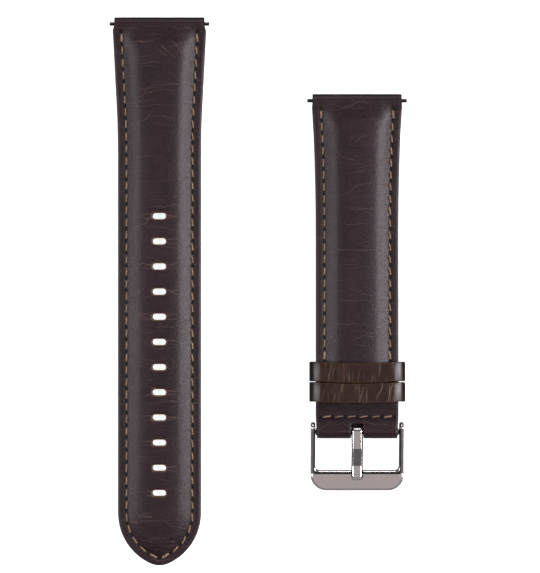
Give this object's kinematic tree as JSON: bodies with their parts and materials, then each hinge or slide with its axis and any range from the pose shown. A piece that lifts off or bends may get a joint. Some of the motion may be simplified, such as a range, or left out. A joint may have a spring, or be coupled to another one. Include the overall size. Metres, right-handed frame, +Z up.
{
  "type": "watch strap set",
  "caption": "Two-piece leather strap set for a smartwatch: padded stitched tail with oblong holes, buckle strap with two keepers, steel pin buckle and quick-release spring bars.",
  "frame": {"origin": "middle of the footprint of the two straps laid out flat, on the surface they lie on", "axes": "+Z up off the surface, out of the straps' faces; +Y along the straps towards their lug ends; +X from the tail towards the buckle strap"},
  "size_m": [0.065, 0.12, 0.0074],
  "materials": {
    "top_leather": "waxed, semi-gloss",
    "keeper_leather": "waxed, semi-gloss",
    "lining_leather": "matt",
    "padding": "matt",
    "thread": "matt",
    "polished_steel": "polished",
    "bar_steel": "satin"
  },
  "bodies": {
    "tail_strap": {"tail_top_leather": "top_leather", "tail_lining": "lining_leather", "tail_padding": "padding", "tail_needle_thread": "thread", "tail_bobbin_thread": "thread"},
    "tail_lug_bar": {"tail_bar_tube": "bar_steel", "tail_bar_fixed_tip": "bar_steel", "tail_bar_spring": "bar_steel"},
    "tail_release": {"tail_bar_plunger": "bar_steel", "tail_release_lever": "bar_steel"},
    "buckle_strap": {"short_top_leather": "top_leather", "short_lining": "lining_leather", "short_padding": "padding", "short_needle_thread": "thread", "short_bobbin_thread": "thread", "fixed_keeper": "keeper_leather"},
    "buckle_strap_lug_bar": {"short_bar_tube": "bar_steel", "short_bar_fixed_tip": "bar_steel", "short_bar_spring": "bar_steel"},
    "buckle_strap_release": {"short_bar_plunger": "bar_steel", "short_release_lever": "bar_steel"},
    "sliding_keeper": {"free_keeper": "keeper_leather", "free_keeper_thread": "thread"},
    "buckle": {"buckle_frame": "polished_steel", "buckle_bar_tube": "bar_steel", "buckle_bar_spring": "bar_steel"},
    "tongue": {"buckle_tongue": "polished_steel"},
    "buckle_bar_left": {"buckle_bar_left_tip": "bar_steel"},
    "buckle_bar_right": {"buckle_bar_right_tip": "bar_steel"}
  },
  "joints": [
    {"name": "tail_lug_bar_turn", "type": "hinge", "parent": "tail_strap", "child": "tail_lug_bar", "pos_m": [-0.0216, 0.0585, 0.0015], "axis": [1, 0, 0], "range_deg": [0, 60]},
    {"name": "tail_bar_release", "type": "slide", "parent": "tail_lug_bar", "child": "tail_release", "axis": [-1, 0, 0], "range_m": [0, 0.0009], "stiffness_N_per_m": 900, "springref_m": -0.0008, "deforming": ["tail_bar_spring"]},
    {"name": "buckle_strap_apart", "type": "slide", "parent": "tail_strap", "child": "buckle_strap", "axis": [1, 0, 0], "range_m": [0, 0.05]},
    {"name": "buckle_strap_lug_bar_turn", "type": "hinge", "parent": "buckle_strap", "child": "buckle_strap_lug_bar", "pos_m": [0.0216, 0.04173, 0.0015], "axis": [1, 0, 0], "range_deg": [0, 60]},
    {"name": "buckle_strap_bar_release", "type": "slide", "parent": "buckle_strap_lug_bar", "child": "buckle_strap_release", "axis": [-1, 0, 0], "range_m": [0, 0.0009], "stiffness_N_per_m": 900, "springref_m": -0.0008, "deforming": ["short_bar_spring"]},
    {"name": "free_keeper_slide", "type": "slide", "parent": "buckle_strap", "child": "sliding_keeper", "axis": [0, 0.9998, -0.021], "range_m": [0, 0.04]},
    {"name": "buckle_turn", "type": "hinge", "parent": "buckle_strap", "child": "buckle", "pos_m": [0.0216, -0.03055, 0.00302], "axis": [-1, 0, 0], "range_deg": [-80, 30]},
    {"name": "tongue_turn", "type": "hinge", "parent": "buckle", "child": "tongue", "pos_m": [0.0216, -0.03055, 0.00302], "axis": [-1, 0, 0], "range_deg": [0, 80]},
    {"name": "buckle_bar_left_press", "type": "slide", "parent": "buckle", "child": "buckle_bar_left", "axis": [1, 0, 0], "range_m": [0, 0.0009], "stiffness_N_per_m": 900, "springref_m": -0.0008, "deforming": ["buckle_bar_spring"]},
    {"name": "buckle_bar_right_press", "type": "slide", "parent": "buckle", "child": "buckle_bar_right", "axis": [-1, 0, 0], "range_m": [0, 0.0009], "stiffness_N_per_m": 900, "springref_m": -0.0008, "deforming": ["buckle_bar_spring"]}
  ]
}
